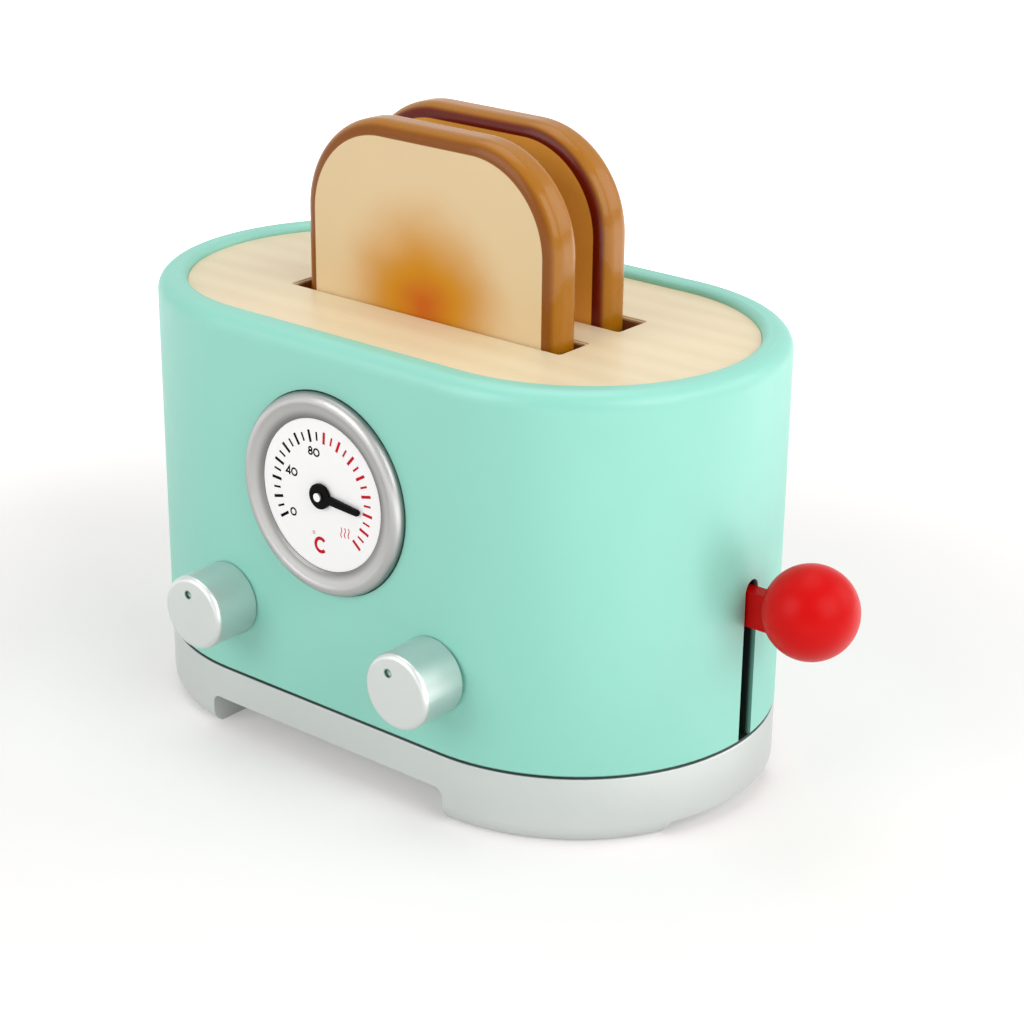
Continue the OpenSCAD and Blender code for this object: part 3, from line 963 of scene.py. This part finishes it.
@dataclass
class LiftGear(Assembly):
    """Carriage, lever, rods, springs and stops."""

    travel: float = 26 * MM

    def squeeze(self, node: str) -> None:
        """Show a spring as a copy of its node's mesh, in place of the node.

        Args:
            node: The spring's node.
        """
        spring = self.add(self.frame["nodes"][node].data.copy(), "housing", "steel")
        spring.name = f"{node}_coils"
        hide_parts(node)
        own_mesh(spring)

    def build(self) -> None:
        """Dress the lift gear."""
        self.dress("carriage", BARE_WOOD)
        for node in ("lever_arm", "lever_ball"):
            self.dress(node, RED)
        for side in ("left", "right"):
            self.dress(f"guide_rod_{side}", STEEL)
            self.dress(f"spring_{side}", STEEL)
            self.squeeze(f"spring_{side}")
            self.dress(f"stop_sleeve_{side}", SLEEVE_WHITE)
        self.dress("lever_screws", STEEL)
        self.dress("bumper_rings", RUBBER)
        self.dress("landing_pad", FELT)


@dataclass
class Knobs(Assembly):
    """The two knobs with their axles and washers."""

    mark_reach: float = 4.8 * MM
    mark_turns: tuple[tuple[str, float], ...] = (("left", -12.0), ("right", -25.0))
    # A little lighter than the base's silver: painted light, for the brighter look of the knobs'
    # front faces
    colour: Colour = srgb(209, 214, 212)

    def build(self) -> None:
        """Dress both knobs, each with its own mark."""
        for side, degrees in self.mark_turns:
            centre, turn = middle(f"knob_{side}"), math.radians(degrees)
            finish = KnobPaint(
                f"knob_{side}_silver",
                colour=self.colour,
                metallic=0.8,
                cloud=0.05,
                grain=0.4,
                peel=2200.0,
                mark=(
                    centre.x + self.mark_reach * math.sin(turn),
                    centre.z + self.mark_reach * math.cos(turn),
                ),
            )
            self.dress(f"knob_{side}", finish)
            self.dress(f"knob_{side}_axle", STEEL)
            self.dress(f"knob_{side}_washer", STEEL)


class ScaleTicks(Group):
    """Geometry Nodes group that lays tick marks along an arc of the dial."""

    name = "scale_ticks"
    kind = "GeometryNodeTree"
    inputs = {
        "Count": Kind.WHOLE,
        "First index": Kind.WHOLE,
        **amounts("Start angle", "Step angle", "Middle radius", "Thickness"),
        **amounts("Long length", "Long width", "Short length", "Short width"),
        "Centre": Kind.VECTOR,
        "Ink": Kind.MATERIAL,
    }
    outputs = {"Geometry": Kind.GEOMETRY}

    def wire(self, tree: Tree, get: Sequence[Socket], sink: Node) -> None:
        """Lay the nodes of the ticks.

        Args:
            tree: The group's tree.
            get: Sockets of its inputs, by name.
            sink: Its output node.
        """
        points = tree.add("GeometryNodeMeshLine", {"Count": get["Count"]})
        index = tree.add("GeometryNodeInputIndex").outputs[0]
        number = tree.math("ADD", index, get["First index"])
        angle = tree.math("MULTIPLY_ADD", number, get["Step angle"], get["Start angle"])
        along = tree.math("MULTIPLY", tree.math("COSINE", angle), get["Middle radius"])
        up = tree.math("MULTIPLY", tree.math("SINE", angle), get["Middle radius"])
        inputs = {0: tree.combine(X=along, Z=up), 1: get["Centre"]}
        place = tree.add("ShaderNodeVectorMath", inputs, operation="ADD").outputs[0]
        inputs = {"Geometry": points.outputs[0], "Position": place}
        laid = tree.add("GeometryNodeSetPosition", inputs)
        odd = tree.math("MODULO", number, 2.0)
        length = self.pick(tree, odd, get["Long length"], get["Short length"])
        width = self.pick(tree, odd, get["Long width"], get["Short width"])
        inputs = {
            "Points": laid.outputs[0],
            "Instance": tree.add("GeometryNodeMeshCube").outputs[0],
            "Rotation": tree.combine(Y=tree.math("MULTIPLY", angle, -1.0)),
            "Scale": tree.combine(X=length, Y=get["Thickness"], Z=width),
        }
        copies = tree.add("GeometryNodeInstanceOnPoints", inputs)
        real = tree.add("GeometryNodeRealizeInstances", {"Geometry": copies.outputs[0]})
        inputs = {"Geometry": real.outputs[0], "Material": get["Ink"]}
        inked = tree.add("GeometryNodeSetMaterial", inputs)
        tree.fill(sink, {"Geometry": inked.outputs[0]})

    @staticmethod
    def pick(tree: Tree, odd: Socket, even_size: Socket, odd_size: Socket) -> Socket:
        """Pick a tick's size by whether its number is odd, 1, or even, 0."""
        gap = tree.math("SUBTRACT", odd_size, even_size)
        return tree.math("MULTIPLY_ADD", odd, gap, even_size)

    def bake(self, name: str, **values: object) -> bpy.types.Mesh:
        """Run the tree with its sizes set and keep the result as a plain mesh.

        Args:
            name: Name of the mesh.
            **values: Inputs, with underscores for the spaces in their names.

        Returns:
            The finished mesh.
        """
        group = self.build()
        carrier = stand(f"{name}_carrier", bpy.data.meshes.new(f"{name}_carrier"))
        modifier = carrier.modifiers.new(self.name, "NODES")
        modifier.node_group = group
        for item in group.interface.items_tree:
            key = item.name.lower().replace(" ", "_")
            if item.in_out == "INPUT" and key in values:
                modifier[item.identifier] = values[key]
        carrier.update_tag()
        bpy.context.view_layer.update()
        graph = bpy.context.evaluated_depsgraph_get()
        mesh = bpy.data.meshes.new_from_object(carrier.evaluated_get(graph))
        mesh.name = name
        bpy.data.objects.remove(carrier)
        return mesh


@dataclass(frozen=True)
class Stroke:
    """One stroke of print: a line of points with a width in millimetres, open or closed."""

    points: tuple[Point, ...]
    width: float
    closed: bool = False


def arc(
    centre: Point, size: Point, start: float = 0, end: float = 360, steps: int = 40
) -> tuple[Point, ...]:
    """Points along an arc of an ellipse.

    Args:
        centre: Its middle.
        size: Its two radii.
        start: First angle, in degrees.
        end: Last angle, in degrees.
        steps: Number of steps between them.

    Returns:
        The points, with both ends.
    """
    (x, z), (wide, high) = centre, size
    angles = (math.radians(start + (end - start) * step / steps) for step in range(steps + 1))
    return tuple((x + wide * math.cos(angle), z + high * math.sin(angle)) for angle in angles)


def ring(centre: Point, size: Point, width: float) -> Stroke:
    """A closed oval stroke, by its middle, the radii of its middle line and its width."""
    return Stroke(arc(centre, size)[:-1], width, closed=True)


@dataclass
class Gauge(Assembly):
    """Ring, dial, pointer and everything that is printed on the dial."""

    ink: float = 0.03 * MM
    start_angle: float = 212.7
    step_angle: float = -9.07
    black_ticks: int = 14
    red_ticks: int = 15
    radius: float = 14.45 * MM
    long_tick: Point = (2.95 * MM, 0.72 * MM)
    short_tick: Point = (2.1 * MM, 0.5 * MM)
    zeros: tuple[Point, ...] = ((-9.27, -6.4), (-8.68, 3.75), (-1.38, 10.35))
    zero_size: Point = (0.84, 0.86)
    line: float = 0.42
    heat_lines: int = 3
    sharpest: float = 0.35
    silver: Colour = srgb(175, 175, 174)
    centre: Vector = field(init=False)

    def build(self) -> None:
        """Dress the gauge and print its dial."""
        finish = RingPaint(
            "ring_silver",
            colour=self.silver,
            metallic=0.9,
            peel=2200.0,
            centre=tuple(middle("gauge_ring").xz),
        )
        self.dress("gauge_ring", finish)
        self.dress("gauge_face", DIAL_WHITE)
        self.dress("gauge_pointer", POINTER_BLACK)
        self.dress("gauge_pin", PIN_SILVER)
        low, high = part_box("gauge_face")
        self.centre = Vector(((low.x + high.x) / 2, low.y - self.ink / 2, (low.z + high.z) / 2))
        self.print_ticks("ticks_black", 0, self.black_ticks, INK_BLACK)
        self.print_ticks("ticks_red", self.black_ticks, self.red_ticks, INK_RED)
        self.print_strokes("numbers_black", self.numbers(), INK_BLACK)
        self.print_strokes("signs_red", self.signs(), INK_RED)

    def print_ticks(self, name: str, first: int, count: int, ink: Finish) -> None:
        """Print a run of the scale's ticks.

        Args:
            name: Name of the piece.
            first: Number of the first tick.
            count: How many ticks.
            ink: Their finish.
        """
        mesh = ScaleTicks().bake(
            name,
            count=count,
            first_index=first,
            start_angle=math.radians(self.start_angle),
            step_angle=math.radians(self.step_angle),
            middle_radius=self.radius,
            long_length=self.long_tick[0],
            long_width=self.long_tick[1],
            short_length=self.short_tick[0],
            short_width=self.short_tick[1],
            thickness=self.ink,
            centre=self.centre,
            ink=ink.material(),
        )
        self.add(mesh, "housing", "dial_print")

    def numbers(self) -> list[Stroke]:
        """Strokes of the numbers 0, 40 and 80.

        Returns:
            The strokes.
        """
        strokes = [ring(spot, self.zero_size, self.line) for spot in self.zeros]
        # The 4: an upright, a slanted line and a bar
        x, z = -10.55, 3.75
        corners = ((0.32, -1.03), (0.32, 1.03), (-0.72, -0.42), (0.72, -0.42))
        strokes.append(Stroke(tuple((x + right, z + up) for right, up in corners), self.line))
        # The 8: two small rings
        x, z = -3.28, 10.42
        strokes.append(ring((x, z + 0.47), (0.45, 0.4), self.line))
        strokes.append(ring((x, z - 0.43), (0.56, 0.45), self.line))
        return strokes

    def signs(self) -> list[Stroke]:
        """Strokes of the degree sign, the letter C and the three heat lines.

        Returns:
            The strokes.
        """
        strokes = [
            Stroke(arc((-0.6, -12.62), (1.62, 1.68), 42, 318, 48), 0.84),
            ring((-2.72, -9.9), (0.34, 0.34), 0.14),
        ]
        # Each heat line is one wave, from 1 at its top to -1 at its foot
        marks = [1 - step / 12 for step in range(25)]
        for number in range(self.heat_lines):
            x, z = 6.1 + 1.17 * number, -7.62 + 0.13 * number
            wave = ((x + 0.22 * math.sin(math.pi * up) - 0.1 * up, z + 1.25 * up) for up in marks)
            strokes.append(Stroke(tuple(wave), 0.24))
        return strokes

    def print_strokes(self, name: str, strokes: Iterable[Stroke], ink: Finish) -> None:
        """Make flat ribbons of ink along strokes on the dial.

        Args:
            name: Name of the piece.
            strokes: The strokes, from the dial's middle.
            ink: Their finish.
        """
        bm = bmesh.new()
        for stroke in strokes:
            self.ribbon(bm, stroke)
        bmesh.ops.recalc_face_normals(bm, faces=bm.faces)
        mesh = bpy.data.meshes.new(name)
        bm.to_mesh(mesh)
        bm.free()
        mesh.materials.append(ink.material())
        self.add(mesh, "housing", "dial_print")

    def ribbon(self, bm: bmesh.types.BMesh, stroke: Stroke) -> None:
        """Add one closed ribbon of ink to a mesh.

        Args:
            bm: The mesh being built.
            stroke: The stroke that it follows.
        """
        points = [Vector(point) for point in stroke.points]
        count = len(points)
        rims: list[tuple[Vector, Vector]] = []
        for index, point in enumerate(points):
            before = points[(index - 1) % count] if stroke.closed or index else point
            after = points[(index + 1) % count] if stroke.closed or index < count - 1 else point
            arriving, leaving = (point - before), (after - point)
            arriving = arriving.normalized() if arriving.length else leaving.normalized()
            leaving = leaving.normalized() if leaving.length else arriving
            way = (arriving + leaving).normalized()
            normal = Vector((-way.y, way.x))
            lean = max(normal.dot(Vector((-leaving.y, leaving.x))), self.sharpest)
            shift = normal * (stroke.width / 2 / lean)
            rims.append((point + shift, point - shift))
        depths = (self.centre.y - self.ink / 2, self.centre.y + self.ink / 2)

        def put(spot: Vector, depth: float) -> bmesh.types.BMVert:
            """Add a point of the ribbon at a depth."""
            place = (self.centre.x + spot.x * MM, depth, self.centre.z + spot.y * MM)
            return bm.verts.new(place)

        rows = [tuple(put(spot, depth) for depth in depths for spot in rim) for rim in rims]
        following = rows[1:] + rows[:1] if stroke.closed else rows[1:]
        for (a, b, c, d), (e, f, g, h) in zip(rows, following):
            for face in ((a, b, f, e), (c, g, h, d), (a, e, g, c), (b, d, h, f)):
                bm.faces.new(face)
        if not stroke.closed:
            for a, b, c, d in (rows[0], rows[-1]):
                bm.faces.new((a, b, d, c))


# ---------- studio


@dataclass
class PhotoCamera:
    """Camera at the photograph's place."""

    azimuth: float = 39.257
    elevation: float = 22.204
    roll: float = 0.602
    distance: float = 622.74 * MM
    focal_px: float = 2403.58
    aim: Point = (12.39 * MM, 49.61 * MM)
    clip: Point = (0.01, 30.0)

    def build(self) -> None:
        """Make the camera and make it the scene's own."""
        a, e, r = (math.radians(angle) for angle in (self.azimuth, self.elevation, self.roll))
        back = Vector((math.sin(a) * math.cos(e), -math.cos(a) * math.cos(e), math.sin(e)))
        right = Vector((math.cos(a), math.sin(a), 0.0))
        up = back.cross(right)
        right, up = right * math.cos(r) + up * math.sin(r), up * math.cos(r) - right * math.sin(r)
        data = bpy.data.cameras.new("photo_camera")
        data.lens = self.focal_px / IMAGE_SIDE * SENSOR
        data.sensor_width = SENSOR
        data.clip_start, data.clip_end = self.clip
        camera = stand("photo_camera", data)
        spot = back * self.distance + right * self.aim[0] + up * self.aim[1]
        turn = Matrix((right, up, back)).transposed().to_4x4()
        camera.matrix_world = Matrix.Translation(spot) @ turn
        bpy.context.scene.camera = camera
        LOG.info("camera: %.1f mm lens", data.lens)


@dataclass
class Lamp:
    """A square soft light that points at the toy."""

    name: str
    place: tuple[float, float, float]
    side: float
    power: float
    aim: tuple[float, float, float] = (0.0, 0.0, 0.07)

    def build(self) -> None:
        """Make the lamp."""
        data = bpy.data.lights.new(self.name, "AREA")
        data.size = self.side
        data.energy = self.power
        lamp = stand(self.name, data)
        lamp.location = self.place
        way = Vector(self.aim) - Vector(self.place)
        lamp.rotation_euler = way.to_track_quat("-Z", "Y").to_euler()


@dataclass
class Studio:
    """Floor, world and lamps."""

    floor_side: float = 8.0
    floor_shade: Colour = (0.79, 0.765, 0.75)
    floor_glow: float = 0.215
    floor_fade: Point = (0.12, 0.5)
    side_glow: float = 2.0
    side_fade: Point = (0.06, 0.2)
    sky: float = 0.36
    lamps: list[Lamp] = field(
        default_factory=lambda: [
            Lamp("key", (1.35, -0.2, 0.85), side=1.1, power=12.2),
            Lamp("front", (-0.55, -1.5, 0.8), side=1.1, power=10.5),
            Lamp("rear", (0.95, 0.95, 0.7), side=0.9, power=4.8),
            Lamp("top", (-0.3, 0.2, 1.7), side=1.2, power=7.7),
        ]
    )

    def build(self) -> None:
        """Make the floor, the world and the lamps."""
        bpy.context.scene.view_settings.view_transform = "Standard"
        self.lay_floor()
        self.light_world()
        for lamp in self.lamps:
            lamp.build()

    def lay_floor(self) -> None:
        """Make the pale floor, which keeps the toy's shadow and is white to the camera; seen in
        reflections it glows, most to the toy's right, as painted reflections.
        """
        half = self.floor_side / 2
        corners = [(-half, -half, 0), (half, -half, 0), (half, half, 0), (-half, half, 0)]
        mesh = bpy.data.meshes.new("floor")
        mesh.from_pydata(corners, [], [(0, 1, 2, 3)])
        made = bpy.data.materials.new("floor")
        tree = Tree.of(made)
        diffuse = tree.add("ShaderNodeBsdfDiffuse", {"Color": self.floor_shade})
        path = tree.add("ShaderNodeLightPath").outputs
        place = tree.add("ShaderNodeTexCoord").outputs["Object"]
        away = tree.add("ShaderNodeVectorMath", {0: place}, operation="LENGTH").outputs["Value"]
        far = tree.ramp(away, *self.floor_fade, self.floor_glow, 1.0)
        # The floor glows in reflections, more to the right of the toy: painted reflections on the
        # toy's right end
        side = tree.ramp(tree.parts(place)[0], *self.side_fade, 0.0, self.side_glow)
        seen = tree.math("MULTIPLY", path["Is Camera Ray"], far)
        level = tree.math("MAXIMUM", far, side)
        mirrored = tree.math("MULTIPLY", path["Is Glossy Ray"], level)
        strength = tree.math("MAXIMUM", seen, mirrored)
        glow = tree.add("ShaderNodeEmission", {"Color": WHITE, "Strength": strength})
        both = tree.add("ShaderNodeAddShader", {0: diffuse.outputs[0], 1: glow.outputs[0]})
        tree.add("ShaderNodeOutputMaterial", {"Surface": both.outputs[0]})
        mesh.materials.append(made)
        floor = stand("floor", mesh)

    def light_world(self) -> None:
        """Make the world: soft even light, and plain white where it is seen."""
        world = bpy.data.worlds.new("studio")
        bpy.context.scene.world = world
        tree = Tree.of(world)
        path = tree.add("ShaderNodeLightPath").outputs
        mirrored = tree.math("MAXIMUM", path["Is Glossy Ray"], path["Is Transmission Ray"])
        seen = tree.math("MAXIMUM", path["Is Camera Ray"], mirrored)
        strength = tree.math("MULTIPLY_ADD", seen, 1.0 - self.sky, self.sky)
        sky = tree.add("ShaderNodeBackground", {"Color": WHITE, "Strength": strength})
        tree.add("ShaderNodeOutputWorld", {"Surface": sky.outputs[0]})


def main() -> None:
    """Build the whole scene."""
    logging.basicConfig(level=logging.INFO, format="%(name)s: %(message)s")
    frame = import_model()
    PhotoCamera().build()
    Studio().build()
    for assembly in (Housing(frame), Slices(frame), LiftGear(frame), Knobs(frame), Gauge(frame)):
        assembly.build()
        LOG.info("%s is done", type(assembly).__name__)


if __name__ == "__main__":
    main()
